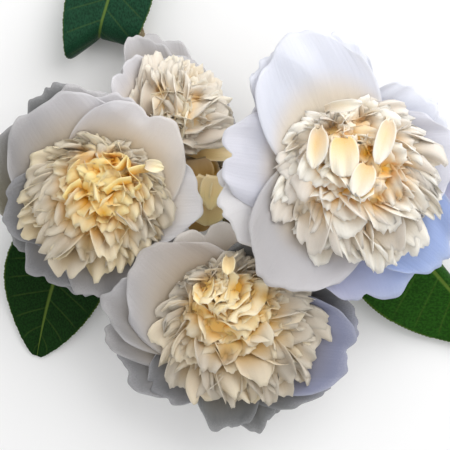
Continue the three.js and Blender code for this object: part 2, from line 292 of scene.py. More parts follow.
def fromMiddle(tree, across):
    # -1 at one side of a sheet, 0 on its middle line and 1 at the other side
    return maths(tree, "SUBTRACT", maths(tree, "MULTIPLY", across, 2.0), 1.0)


def addNoise(tree, scale, detail):
    noise = tree.nodes.new("ShaderNodeTexNoise")
    noise.inputs["Scale"].default_value = scale
    noise.inputs["Detail"].default_value = detail
    return noise


def addTint(tree):
    # the colour that each petal, scale or twig is dealt: its own colour, and on the petals also painted light
    # and shade
    tint = tree.nodes.new("ShaderNodeAttribute")
    tint.attribute_name = "tint"
    return tint


# Colour along a petal: a warmer foot, the tint it is dealt, painted light and shade included, and a paler
# rim.
def makePetalTone():
    group, given, out = newGroup(
        "petalTone",
        [("Tint", "NodeSocketColor", (1, 1, 1, 1)), ("Foot", "NodeSocketColor", (0.7, 0.4, 0.05, 1)),
         ("Glow", "NodeSocketColor", (0.9, 0.7, 0.3, 1)), ("Rim", "NodeSocketColor", (1, 1, 1, 1)),
         ("Foot Start", "NodeSocketFloat", 0.12), ("Foot End", "NodeSocketFloat", 0.4),
         ("Glow End", "NodeSocketFloat", 0.8), ("Rim Start", "NodeSocketFloat", 0.86),
         ("Rim Share", "NodeSocketFloat", 0.6), ("Wander", "NodeSocketFloat", 0.16)],
        [("Color", "NodeSocketColor"), ("Rim Mask", "NodeSocketFloat")],
    )
    values = given.outputs
    across, along = sheetPlace(group)
    uneven = maths(group, "SUBTRACT", addNoise(group, 140, 2).outputs[0], 0.5)
    along = maths(group, "ADD", along, maths(group, "MULTIPLY", uneven, values["Wander"]))
    footShare = mapRange(group, along, values["Foot Start"], values["Foot End"])
    glowShare = mapRange(group, along, values["Foot End"], values["Glow End"])
    side = maths(group, "ABSOLUTE", fromMiddle(group, across))
    sideRim = maths(group, "MULTIPLY", mapRange(group, side, 0.8, 1.0), mapRange(group, along, 0.45, 0.8))
    tipRim = mapRange(group, along, values["Rim Start"], 1.0, easing="LINEAR")
    rim = maths(group, "MAXIMUM", tipRim, sideRim)
    lower = mixColour(group, footShare, values["Foot"], values["Glow"])
    upper = mixColour(group, glowShare, lower, values["Tint"])
    share = maths(group, "MULTIPLY", rim, values["Rim Share"])
    group.links.new(mixColour(group, share, upper, values["Rim"]), out.inputs["Color"])
    group.links.new(rim, out.inputs["Rim Mask"])
    return group


# Fine lengthwise veins and soft cells of a petal, as a height.
def makePetalVeins():
    group, given, out = newGroup(
        "petalVeins",
        [("Count", "NodeSocketFloat", 26.0), ("Depth", "NodeSocketFloat", 0.5),
         ("Along", "NodeSocketFloat", 1.6), ("Cells", "NodeSocketFloat", 0.12)],
        [("Height", "NodeSocketFloat")],
    )
    across, along = sheetPlace(group)
    stretched = group.nodes.new("ShaderNodeCombineXYZ")
    for socket, place, count in ((0, across, "Count"), (1, along, "Along")):
        feed(group, stretched.inputs[socket], maths(group, "MULTIPLY", place, given.outputs[count]))
    veins = addNoise(group, 1.0, 3)
    group.links.new(stretched.outputs[0], veins.inputs["Vector"])
    cells = maths(group, "MULTIPLY", addNoise(group, 1500, 2).outputs[0], given.outputs["Cells"])
    height = maths(group, "ADD", maths(group, "MULTIPLY", veins.outputs[0], given.outputs["Depth"]), cells)
    group.links.new(height, out.inputs["Height"])
    return group


petalTone = makePetalTone()
petalVeins = makePetalVeins()


def addBump(tree, shader, height, distance, strength=1.0):
    bump = tree.nodes.new("ShaderNodeBump")
    bump.inputs["Strength"].default_value = strength
    bump.inputs["Distance"].default_value = distance
    tree.links.new(height, bump.inputs["Height"])
    tree.links.new(bump.outputs[0], shader.inputs["Normal"])


def makePetalSkin(name, tones, veins, values, rough=(0.56, 0.46), bump=0.0003):
    # the roughness is that of the petal, then of its rim
    material, tree, shader = newMaterial(name, **values)
    tint = addTint(tree)
    tone = put(tree, petalTone, **tones)
    tree.links.new(tint.outputs["Color"], tone.inputs["Tint"])
    rimShare = maths(tree, "MULTIPLY", tint.outputs["Alpha"], tones["Rim_Share"])
    tree.links.new(rimShare, tone.inputs["Rim Share"])
    tree.links.new(tone.outputs["Color"], shader.inputs["Base Color"])
    tree.links.new(mapRange(tree, tone.outputs["Rim Mask"], 0, 1, *rough), shader.inputs["Roughness"])
    addBump(tree, shader, put(tree, petalVeins, **veins).outputs["Height"], bump)
    return material


# The guard petals' foot and glow colours are cream, partly the petal's own colour at its claw and partly
# painted light from the golden boss.
guardSkin = makePetalSkin(
    "guardPetalSkin",
    {"Foot": (0.60, 0.54, 0.34, 1), "Glow": (0.64, 0.58, 0.44, 1), "Rim": (0.85, 0.85, 0.9, 1),
     "Foot_End": 0.3, "Glow_End": 0.5, "Rim_Start": 0.9, "Rim_Share": 0.1},
    {"Count": 22.0, "Depth": 0.8},
    {"Subsurface_Weight": 0.35, "Subsurface_Radius": (1.0, 0.97, 0.94), "Subsurface_Scale": 0.0015,
     "Specular_IOR_Level": 0.3, "Sheen_Weight": 0.08},
)


def makePetaloidSkin(place, foot, glow, rim):
    return makePetalSkin(
        place + "PetaloidSkin",
        {"Foot": (*foot, 1), "Glow": (*glow, 1), "Rim": (*rim, 1),
         "Foot_End": 0.3, "Glow_End": 0.5, "Rim_Start": 0.66, "Rim_Share": 0.7},
        {"Count": 14.0, "Depth": 0.5},
        {"Subsurface_Weight": 0.5, "Subsurface_Radius": (1.0, 0.95, 0.9), "Subsurface_Scale": 0.0005,
         "Specular_IOR_Level": 0.15},
    )


petaloidSkins = {
    "top": makePetaloidSkin("top", (0.90, 0.58, 0.16), (0.90, 0.70, 0.36), (0.90, 0.82, 0.66)),
    "left": makePetaloidSkin("left", (0.94, 0.52, 0.05), (0.94, 0.62, 0.16), (0.93, 0.78, 0.43)),
    "low": makePetaloidSkin("low", (0.92, 0.54, 0.08), (0.90, 0.64, 0.24), (0.90, 0.78, 0.54)),
    "right": makePetaloidSkin("right", (0.93, 0.55, 0.08), (0.93, 0.72, 0.35), (0.95, 0.90, 0.81)),
}
print("petal skins made")


# What colour a petal is dealt, by name, and how much of its skin's pale rim it shows where that isn't all
# of it. The tints of the white guard petals are painted light and shade: grey where they lie in shade, bluish
# where cool light falls on them. The tint named shade is painted shade, and shell, flax, oat and buff are
# partly painted shade on the outer petaloids.
petalTintsAndShades = {
    "white": (0.70, 0.72, 0.82),
    "snow": (0.64, 0.64, 0.72),
    "chalk": (0.72, 0.70, 0.71),
    "pearl": (0.60, 0.58, 0.60),
    "bone": (0.66, 0.60, 0.54),
    "linen": (0.42, 0.37, 0.33),
    "mist": (0.44, 0.425, 0.43),
    "lilac": (0.42, 0.43, 0.60),
    "blue": (0.32, 0.41, 0.70),
    "ash": (0.29, 0.28, 0.28),
    "dove": (0.20, 0.20, 0.208),
    "slate": (0.15, 0.154, 0.156),
    "moss": (0.16, 0.145, 0.095),
    "dusk": (0.22, 0.235, 0.34),
    "milk": (0.93, 0.87, 0.76),
    "ivory": (0.93, 0.81, 0.58),
    "parchment": (0.78, 0.71, 0.58),
    "cream": (0.92, 0.72, 0.40),
    "custard": (0.93, 0.67, 0.25),
    "shell": (0.70, 0.63, 0.56, 0.6),
    "flax": (0.66, 0.575, 0.465, 0.5),
    "oat": (0.54, 0.49, 0.43, 0.3),
    "buff": (0.48, 0.44, 0.39, 0.3),
    "amber": (0.92, 0.46, 0.03),
    "gold": (0.95, 0.60, 0.14),
    "straw": (0.88, 0.54, 0.14),
    "sand": (0.42, 0.31, 0.18),
    "clay": (0.62, 0.51, 0.37),
    "shade": (0.42, 0.25, 0.04, 0.2),
    "honey": (0.98, 0.77, 0.36, 0.4),
}

# Rings of a mound's tongues: how far out, 0 at the pole and 1 at the edge, and how many.
smallRings = [(0.08, 3), (0.26, 6), (0.44, 9), (0.6, 12), (0.76, 15), (0.9, 18), (1.02, 20)]
fullRings = [(0.05, 3), (0.19, 6), (0.33, 9), (0.47, 11), (0.6, 14), (0.74, 17), (0.88, 21), (1.02, 24)]
openRings = [(0.06, 2), (0.19, 5), (0.33, 9), (0.47, 12), (0.61, 15), (0.75, 18), (0.89, 22), (1.02, 24)]

# Guard petals: bearing of the tip, length, width, layer and tint, then rise and bend per mm where they
# differ. Their greys and blues are painted light and shade. Two tints run across the petal, clockwise side
# first, as painted shade across it. The mound of petaloids spreads from its pole to an outline. It, its pits,
# the frills' rims and the spoons' two ends are places in the photo's pixels. Its deep colours are painted
# shade in its crevices and pits, golden near the pole and brown outward. Its sun is the bearing toward which
# tongues get paler, and by what share, and its skip names tongues to leave out, by ring and number.
blooms = {
    "top": {
        "at": (-23.9, 30.8, 13),
        "lean": 27,
        "toward": 45,
        "guards": [
            (141, 32.5, 28, 3, "pearl", 50, 0.6), (117, 38, 26, 1, "mist", 45, 0.5), (95, 38, 30, 0, "mist"),
            (74, 29, 30, 2, "mist"), (54, 24, 30, 3, "mist"), (27, 26, 30, 1, "ash"),
            (350, 28, 18, 2, ("cream", "milk")),
            (302, 26, 26, 1, "shade", 30, 1.9), (277, 27, 24, 0, "shade", 30, 1.8),
        ],
        "mound": {
            "pole": (176, 109), "middle": (187, 99), "radii": (54, 37), "turn": -43, "top": 22, "edge": 13,
            "tongues": smallRings, "inner": ["parchment", "ivory"], "outer": ["shell", "bone"],
            "deep": ("straw", "clay"), "hang": 0.1, "seed": 31, "pits": [((196, 96), 6), ((160, 88), 7)],
        },
        "spoons": [
            {"from": (196, 160), "to": (200, 186), "width": 12, "up": (11, 8), "tint": "shade"},
            {"from": (204, 178), "to": (197, 206), "width": 8, "up": (18, 16), "tint": "honey"},
            {"from": (213, 178), "to": (210, 210), "width": 9, "up": (19, 17), "tint": "honey"},
            {"from": (207, 201), "to": (207, 226), "width": 13, "up": (15, 12), "tint": "honey"},
            {"from": (203, 208), "to": (191, 231), "width": 11, "up": (9, 7), "tint": "shade"},
        ],
    },
    "left": {
        "at": (-43.9, 13, 22),
        "lean": 12,
        "toward": -110,
        "guards": [
            (116, 42, 30, 0, "slate"), (102, 39, 34, 1, "mist"), (159, 40, 56, 1, ("dove", "moss")),
            (121, 38.5, 60, 3, ("pearl", "ash")), (79, 36, 50, 2, "pearl"),
            (50, 37, 52, 3, ("bone", "pearl")), (0, 36, 42, 2, "chalk"), (329, 30, 30, 1, "ash"),
            (194, 34, 32, 3, "dove"), (213, 36, 26, 0, "slate"), (234, 37, 32, 2, "dove"),
            (253, 37, 32, 1, "dove"), (269, 36, 30, 3, "ash"), (291, 35, 32, 0, "ash"),
        ],
        "mound": {
            "pole": (112, 172), "middle": (95, 207), "radii": (76, 72), "turn": -10, "top": 28, "edge": 15,
            "tongues": fullRings, "inner": ["custard", "cream", "custard"], "outer": ["flax", "oat", "oat"],
            "deep": ("amber", "sand"), "hang": 0.3, "seed": 5, "skip": [(6, 15)],
            "pits": [((81, 151), 8), ((113, 158), 9), ((128, 178), 7), ((103, 214), 9), ((84, 190), 7)],
        },
        "frills": [
            {"rim": [(101, 154), (115, 169), (128, 152), (126, 169), (142, 183), (133, 188)], "up": (31, 30),
             "shift": (4, 5)},
            {"rim": [(128, 168), (138, 165), (149, 164)], "up": (31, 28), "shift": (1, 8)},
            {"rim": [(103, 189), (118, 178), (131, 176)], "up": (30, 31), "shift": (3, 7)},
            {"rim": [(62, 196), (69, 185), (80, 178)], "up": (26, 27), "shift": (5, 8)},
        ],
        "spoons": [
            {"from": (146, 165), "to": (164, 168), "width": 4.5, "up": (29, 25), "tint": "milk"},
        ],
    },
    "low": {
        "at": (1.5, -36.2, 17),
        "lean": 14,
        "toward": -80,
        "guards": [
            (105, 41, 44, 1, "bone"), (137, 43.5, 52, 3, ("linen", "mist")),
            (161, 46.5, 32, 2, ("mist", "ash")), (177, 44, 30, 1, "ash"), (199, 41, 38, 0, "dove"),
            (220, 34.5, 30, 1, "dove"),
            (267, 35, 26, 3, "slate"), (286, 37, 22, 2, "slate"), (297, 35, 26, 1, "slate"),
            (310, 35, 32, 0, "slate"),
            (332, 40, 42, 2, ("slate", "dusk")), (353, 44, 44, 3, "dusk"), (7, 45, 40, 1, ("dusk", "slate")),
            (35, 44, 36, 0, "slate"), (64, 39, 36, 2, "slate"),
        ],
        "mound": {
            "pole": (222, 284), "middle": (241, 333), "radii": (82, 77), "turn": 0, "top": 29, "edge": 13,
            "tongues": fullRings, "inner": ["cream", "ivory", "cream"], "outer": ["flax", "buff", "oat"],
            "deep": ("straw", "sand"), "hang": 0.4, "seed": 23,
            "pits": [((206, 286), 10), ((236, 290), 9), ((194, 311), 10), ((216, 330), 9), ((267, 298), 10),
                     ((224, 357), 9)],
        },
        "frills": [
            {"rim": [(193, 299), (200, 306), (212, 294), (214, 284)], "up": (29, 30), "shift": (0, -9)},
            {"rim": [(212, 296), (219, 307), (236, 310), (250, 296)], "up": (30, 29), "shift": (2, -9)},
        ],
        "spoons": [
            {"from": (229, 258), "to": (227, 275), "width": 4.5, "up": (29, 31), "cup": 2.5, "tint": "cream"},
        ],
    },
    "right": {
        "at": (39, 20.7, 33),
        "lean": 14,
        "toward": -38,
        "bossLightEnd": 0.75,
        "guards": [
            (132, 45, 28, 0, "white"), (115, 50, 48, 3, "white"), (129, 48.5, 24, 2, "white"),
            (94, 46, 26, 1, "white"), (44, 38, 32, 2, "white"),
            (30, 40, 28, 1, "white"), (10, 40, 40, 3, "snow"), (339, 46, 38, 0, "lilac"),
            (320, 49, 38, 2, "blue"), (290, 48, 52, 1, ("lilac", "blue")),
            (236, 46, 50, 3, ("mist", "pearl")), (201, 45, 42, 1, "chalk"),
            (186, 43, 30, 0, "chalk"), (171, 44, 40, 2, "snow"), (152, 38.5, 36, 1, "snow"),
        ],
        "mound": {
            "pole": (352, 150), "middle": (360, 185), "radii": (86, 84), "turn": 0, "top": 29, "edge": 16,
            "tongues": openRings, "inner": ["ivory", "milk", "ivory"], "outer": ["shell", "milk"],
            "sun": (115, 0.28), "deep": ("amber", "clay"), "hang": 0.5, "seed": 11,
            "pits": [((368, 152), 12), ((388, 168), 15), ((366, 116), 15), ((334, 130), 9), ((298, 142), 9),
                     ((302, 212), 8), ((380, 199), 11), ((403, 195), 9)],
        },
        "frills": [
            {"rim": [(350, 197), (359, 202), (374, 194)], "up": (29, 30), "shift": (1, -7)},
        ],
        "spoons": [
            {"from": (330, 107), "to": (363, 103), "width": 4.5, "up": (29, 31), "roll": 30, "tint": "milk"},
            {"from": (318, 130), "to": (313, 169), "width": 7, "up": (28, 28), "cup": 5, "glow": 0.8,
             "claw": 0.4, "ruffle": 0.9, "tint": "milk"},
            {"from": (343, 139), "to": (345, 177), "width": 10, "up": (28, 29.5), "cup": 1.5, "glow": 0.35,
             "claw": 0.6, "tip": 0.75, "ruffle": 1.1, "tint": "ivory"},
            {"from": (389, 122), "to": (377, 164), "width": 6.5, "up": (28.5, 29.5), "cup": 3, "glow": 0.4,
             "claw": 0.4, "tip": 0.55, "ruffle": 1, "tint": "milk"},
            {"from": (367, 166), "to": (356, 196), "width": 8, "up": (28.5, 29.5), "cup": 2.5, "glow": 0.4,
             "claw": 0.5, "tip": 0.6, "ruffle": 1.4, "tint": "milk"},
        ],
    },
}

# A guard petal's shape, then how it is made warmer toward its foot as painted light from the golden boss, and
# how far its underside moves toward pearl, so that it keeps less of the painted shade.
guardShape = {
    "foot": 3, "rise": 34, "bend": 0.85, "layer": 1.8, "claw": 0.24, "broad": 0.7, "tip": 0.84, "round": 0.19,
    "grid": (37, 31), "thick": 0.3, "clear": 0.15,
    "notch": 2.4, "notchAt": (-0.35, 0.35), "notchWidth": 0.08, "lobes": 0.028, "ruffle": 1.7, "cup": 0.5,
    "folds": (2.5, 4.5), "fineFolds": (9, 13),
    "bossLightTint": (1.1, 0.94, 0.68), "bossLightStart": 0.5, "bossLightEnd": 0.95, "paler": 0.6,
}
# The seat that the petals grow from: radii and heights, from below.
seatShape = {
    "profile": [(1.0, -1.9), (4.4, -1.8), (7.0, 1.5), (8.2, 5), (1.0, 6.8)], "around": 25, "thick": 0.6,
}


def leanOf(bloom):
    angle, toward = math.radians(bloom["lean"]), math.radians(bloom["toward"])
    axis = np.array([-math.sin(toward), math.cos(toward), 0.0])
    cross = np.array([[0, -axis[2], axis[1]], [axis[2], 0, -axis[0]], [-axis[1], axis[0], 0]])
    return np.eye(3) + math.sin(angle) * cross + (1 - math.cos(angle)) * cross @ cross


def petalWidth(shape, v):
    # the share of its full width along a petal, from its claw over its broadest place to its tip
    opening = np.sin(np.pi / 2 * np.clip(v / shape["broad"], 0, 1)) ** 1.2
    past = np.clip((v - shape["broad"]) / (1 - shape["broad"]), 0, 1)
    return np.where(v < shape["broad"], mix(shape["claw"], 1, opening), 1 - (1 - shape["tip"]) * past ** 2)


# one tint for the petal, or two that run across it as painted light and shade, clockwise side first
def tintAcross(names, u):
    if isinstance(names, str):
        return np.array(petalTintsAndShades[names])[:3]
    first, second = (np.array(petalTintsAndShades[name])[:3] for name in names)
    return mix(first, second, smooth(u, -0.9, 0.9)[..., None])


def guardPetal(row, draw):
    bearing, length, width, layer = row[:4]
    shape = guardShape
    rise = row[5] if len(row) > 5 else shape["rise"]
    bend = row[6] if len(row) > 6 else shape["bend"]
    u, v = petalGrid(*shape["grid"])
    notchAt = draw(*shape["notchAt"])
    notch = shape["notch"] * draw() / length * np.exp(-((u - notchAt) / shape["notchWidth"]) ** 2) * v ** 8
    lobes = np.sin(5 * u + draw(0, 6)) + 0.5 * np.sin(9 * u + draw(0, 6)) + 0.2 * np.sin(19 * u + draw(0, 6))
    lobes = lobes * shape["lobes"] * v ** 5
    along = v * (1 - shape["round"] * np.abs(u) ** 2.4) - notch + lobes
    start = math.radians(rise)
    turn = -math.radians(bend * length)
    pitch = start + turn * along
    out = shape["foot"] + length * (np.sin(pitch) - math.sin(start)) / turn
    up = layer * shape["layer"] + length * (math.cos(start) - np.cos(pitch)) / turn
    folds = np.sin(draw(*shape["folds"]) * u + draw(0, 6))
    folds = folds + 0.35 * np.sin(draw(*shape["fineFolds"]) * u + draw(0, 6) + 2 * v) * v
    off = shape["cup"] * u * u * np.sin(np.pi * v * 0.6)
    off = off + shape["ruffle"] * v ** 1.8 * folds * (0.4 + 0.6 * np.abs(u))
    reach = out - np.sin(pitch) * off
    around = math.radians(bearing) + width / 2 * u * petalWidth(shape, v) / out
    return polar(reach, around, up + np.cos(pitch) * off)


def makeGuards(place, bloom):
    pile = SheetPile()
    draw = seeded(len(bloom["guards"]) * 7 + len(place))
    lean, at = leanOf(bloom), np.array(bloom["at"])
    bossLightEnd = bloom.get("bossLightEnd", guardShape["bossLightEnd"])
    highest = 0
    for row in sorted(bloom["guards"], key=lambda row: row[3]):
        middle = guardPetal(row, draw) @ lean.T + at
        middle, lift = heights.drape(middle, guardShape["clear"])
        heights.add(middle, guardShape["thick"])
        highest = max(highest, lift)
        u, v = petalGrid(*guardShape["grid"])
        own = tintAcross(row[4], u)
        # painted light from the golden boss makes the petal warmer toward its foot; the paler underside keeps
        # less of the painted shade
        bossLight = 1 - smooth(v, guardShape["bossLightStart"], bossLightEnd)[..., None]
        under = mix(own, np.array(petalTintsAndShades["pearl"]), guardShape["paler"])
        upper = mix(own, own * np.array(guardShape["bossLightTint"]), bossLight)
        pile.add(middle, guardShape["thick"], upper, under=under)
    turns = np.linspace(0, 2 * np.pi, seatShape["around"])
    radii, rises = np.array(seatShape["profile"]).T
    pile.add(polar(radii, turns[:, None], rises)[::-1] @ lean.T + at, seatShape["thick"], petalTintsAndShades["cream"])
    piece = pile.build(place + "GuardPetals", [guardSkin])
    settle(piece, place + "_bloom_petals")
    print(place, "guard petals:", len(bloom["guards"]), "lifted up to", round(float(highest), 2))


# The domed mound that a bloom's petaloids fill.
class Mound:
    def __init__(self, bloom):
        shape = bloom["mound"]
        self.at = np.array(bloom["at"], float)
        self.pole = seenAt(shape["pole"], self.at[2] + shape["top"])
        self.middle = seenAt(shape["middle"], self.at[2] + shape["edge"])
        self.hang = shape["hang"]
        # a pixel in millimetres, at both heights
        upper, lower = ((seenAt((1, 0), z) - seenAt((0, 0), z))[0] for z in (self.pole[2], self.middle[2]))
        self.radii = np.array(shape["radii"]) * lower
        self.pits = [(seenAt(middle, self.pole[2])[:2], radius * upper) for middle, radius in shape["pits"]]
        turn = math.radians(shape["turn"])
        self.axes = np.array([[math.cos(turn), math.sin(turn)], [-math.sin(turn), math.cos(turn)]])

    def edge(self, angle):
        return self.middle[:2] + (np.array([math.cos(angle), math.sin(angle)]) * self.radii) @ self.axes

    def share(self, places):
        # 0 at the pole, 1 at the edge
        pole = (self.axes @ (self.pole[:2] - self.middle[:2])) / self.radii
        off = (places[..., :2] - self.middle[:2]) @ self.axes.T / self.radii - pole
        square = (off * off).sum(-1) + 1e-9
        along = (off * pole).sum(-1)
        return square / (np.sqrt(along ** 2 + square * (1 - pole @ pole)) - along)

    def pit(self, places):
        # how far into one of the pits between the petaloids, 0 to 1; lay sinks the sheets there and paints
        # them with golden shade
        pits = [((places[..., :2] - middle) ** 2).sum(-1) / radius ** 2 for middle, radius in self.pits]
        return np.exp(-np.min(pits, 0))

    def height(self, places):
        share = np.minimum(self.share(places), moundShape["farthest"])
        return mix(self.pole[2], self.middle[2], share ** moundShape["fall"])


# How a mound falls off and how unevenly its tongues stand, then the tongues' angles in degrees and sizes in
# millimetres at the pole and at the edge.
moundShape = {"fall": 2.2, "farthest": 1.15, "uneven": (-0.3, 0.3)}
tongueShape = {
    "pitch": (32, -26), "width": (14, 10.5), "cup": (2.2, 1.6), "fold": (2.4, 1.5), "ruffle": (1.8, 2.0),
    "twist": (34, 34), "low": (1.0, 0),
}
# What a tongue draws of its own: an amount more or less, or a share of the size that its place gives it.
tongueDraw = {
    "share": (0.94, 1.05), "up": (-1.5, 1.5), "heading": (-0.4, 0.4), "pitch": (-18, 18), "reach": (8, 13),
    "width": (0.72, 1.24), "cup": (-0.9, 1.3), "ruffle": (0.4, 1.4), "waves": (1.4, 3.4), "phase": (0, 6.28),
    "twist": (-1, 1), "notch": (-0.5, 1), "notchAt": (-0.5, 0.5), "tip": (0.62, 1.0), "round": (0.08, 0.24),
}
# Of a petaloid: its depth range is how far under the mound, in millimetres, painted shade comes in, and its
# heart range is how far from the pole that shade turns from golden to brown.
petaloidShape = {
    "claw": 0.42, "broad": 0.8, "length": 30, "grid": (15, 21), "thick": 0.25, "clear": 0.1,
    "footOut": 5, "footUp": 4, "rise": 14, "ahead": 1.5, "bare": 0.35, "settle": 0.25,
    "notch": 3.6, "notchWidth": 0.16, "fringe": 0.025, "sharp": 0.8, "pitDepth": 3.5,
    "heart": (0.3, 0.8), "depth": (-0.5, 4.0), "blend": (0.3, 0.75), "footGold": 0.6, "goldEnd": (0.6, 0.95),
}
# The heart under the tongues, in the colours of the painted crevice shade: how far out, 1 at the mound's
# edge, and how deep under the mound.
heartShape = {
    "around": 36, "reach": [0.02, 0.2, 0.4, 0.6, 0.74, 0.7, 0.5, 0.02],
    "sink": [5.5, 5.5, 5.5, 6.5, 9, 11.5, 11, 10],
}
# Rings under the outermost tongues: how far out, how much lower, and how far apart in millimetres, and the
# share of the painted crevice shade that they take.
skirtShape = {"rings": [(0.95, 3), (0.88, 6), (0.8, 9)], "apart": 8, "grid": (7, 9), "deep": 0.3}
frillShape = {"grid": (45, 11), "rounding": 8, "deep": 4.5, "squeeze": 0.9, "visible": 0.4, "thick": 0.2}
# What a spoon has where its own values don't say otherwise.
spoonShape = {
    "grid": (15, 31), "hidden": 0.25, "broad": 0.5, "claw": 0.6, "tip": 0.3, "deep": 7, "back": 0.1,
    "under": 0.7, "arch": 0.8, "cup": 1.2, "ruffle": 0.35, "waves": (1.4, 2.6), "roll": 0, "tilt": (-8, 8),
    "glow": 0.3, "visible": 0.66,
}


# A sheet that stands under a rim that the photo shows, down to a foot line.
def placedFrill(frill, mound):
    across, along = frillShape["grid"]
    pixels = np.array(frill["rim"], float)
    run = np.concatenate([[0], np.cumsum(np.linalg.norm(np.diff(pixels, axis=0), axis=1))])
    at = np.linspace(0, run[-1], across)
    line = np.stack([np.interp(at, run, pixels[:, axis]) for axis in range(2)], 1)
    for _ in range(frillShape["rounding"]):
        line[1:-1] = (line[:-2] + 2 * line[1:-1] + line[2:]) / 4
    up = mix(*frill["up"], at / run[-1]) + mound.at[2] + 0.25 * np.sin(at * 0.35)
    below = mix(line.mean(0), line, frillShape["squeeze"]) + np.array(frill["shift"])
    rim = np.array([seenAt(pixel, z) for pixel, z in zip(line, up)])[:, None]
    foot = np.array([seenAt(pixel, z) for pixel, z in zip(below, up - frillShape["deep"])])[:, None]
    u, v = petalGrid(across, along)
    sheet = mix(foot, rim, v[..., None] ** 1.2)
    sheet[..., 2] = mix(foot[..., 2], rim[..., 2], 1 - (1 - v) ** 1.6)
    return sheet, np.stack([(u + 1) / 2, mix(frillShape["visible"], 1, v)], -1)


# A cupped petaloid that the photo shows, from where it comes into view to its tip.
def placedSpoon(spoon, mound, draw):
    shape = {**spoonShape, **spoon}
    u, v = petalGrid(*shape["grid"])
    first = seenAt(shape["from"], mound.at[2] + shape["up"][0])
    flat = seenAt(shape["to"], mound.at[2] + shape["up"][1]) - first
    hidden = np.clip(1 - v / shape["hidden"], 0, 1)
    shown = np.clip((v - shape["hidden"]) / (1 - shape["hidden"]), 0, 1)
    t = shown * (1 - 0.12 * np.abs(u) ** 2.4)
    middle = first + flat * (t - shape["back"] * hidden)[..., None]
    bell = np.sin(np.pi * np.clip(0.12 + shown * 0.88, 0, 1))
    middle[..., 2] += shape["arch"] * bell - shape["deep"] * hidden ** 2
    opening = np.sqrt(1 - (1 - np.clip(shown / shape["broad"], 0, 1)) ** 2)
    closing = (1 - np.clip((shown - shape["broad"]) / (1 - shape["broad"]), 0, 1) ** 2.2) ** 0.6
    widths = np.where(shown < shape["broad"], mix(shape["claw"], 1, opening), mix(shape["tip"], 1, closing))
    heading = math.atan2(flat[1], flat[0])
    roll = math.radians(shape["roll"] + draw(*shape["tilt"]))
    side = np.array([-math.sin(heading) * math.cos(roll), math.cos(heading) * math.cos(roll), math.sin(roll)])
    way = unit(np.gradient(middle, axis=1))
    normal = unit(np.cross(way, side))
    wave = draw(*shape["waves"]) * np.pi * u + draw(0, 6.28)
    off = shape["cup"] * (u * u - 0.3) * bell + shape["ruffle"] * shown ** 2 * np.sin(wave)
    sheet = middle + side * (shape["width"] / 2 * u * widths)[..., None] + normal * off[..., None]
    place = mix(shape["visible"], 1, shown) - 0.1 * hidden
    glow = shape["glow"] * (1 - np.abs(u)) * bell
    tint = SheetPile().coloured(petalTintsAndShades[shape["tint"]], u.shape)
    tint[..., :3] = mix(tint[..., :3], np.array(petalTintsAndShades["gold"]), glow[..., None])
    return sheet, np.stack([(u + 1) / 2, place], -1), tint


# A petaloid from a foot in its bloom's heart to a tip on the mound.
def petaloidSheet(rule):
    shape = petaloidShape
    u, v = petalGrid(*rule.get("grid", shape["grid"]))
    notch = rule["notch"] / shape["length"] * np.exp(-((u - rule["notchAt"]) / shape["notchWidth"]) ** 2)
    notch = notch * v ** 7
    fringe = shape["fringe"] * np.abs(np.sin(u * rule["waves"] * 4 + rule["phase"])) * v ** 6
    t = (v * (1 - rule["round"] * np.abs(u) ** 2.4) - notch - fringe)[..., None]
    heading = np.array([math.cos(rule["heading"]), math.sin(rule["heading"]), 0.0])
    foot, tip = rule["foot"], rule["tipAt"]
    third = rule["third"]
    second = foot + np.array([0, 0, shape["rise"]]) + heading * shape["ahead"]
    middle = (1 - t) ** 3 * foot + 3 * t * (1 - t) ** 2 * second + 3 * t * t * (1 - t) * third + t ** 3 * tip
    steps = (second - foot, 2 * (third - second), tip - third)
    way = unit((1 - t) ** 2 * steps[0] + t * (1 - t) * steps[1] + t * t * steps[2])
    beside = np.array([-heading[1], heading[0], 0.0])
    normal = unit(np.cross(way, np.broadcast_to(beside, way.shape)))
    side = unit(np.cross(normal, way))
    widths = petalWidth({**shape, **rule}, v)
    wave = rule["waves"] * np.pi * u + rule["phase"]
    folds = mix(np.sin(wave), np.arcsin(np.sin(wave)) * 2 / np.pi, rule["sharp"])
    off = rule["cup"] * u * u * smooth(v, 0.1, 0.8) + rule["fold"] * np.abs(u) * v ** 2
    off = off + rule["ruffle"] * v ** 3 * folds * (0.45 + 0.55 * np.abs(u))
    angle = np.radians(rule["twist"]) * v
    across = rule["width"] / 2 * u * widths
    sideways = across * np.cos(angle) - off * np.sin(angle)
    outward = across * np.sin(angle) + off * np.cos(angle)
    return middle + side * sideways[..., None] + normal * outward[..., None]


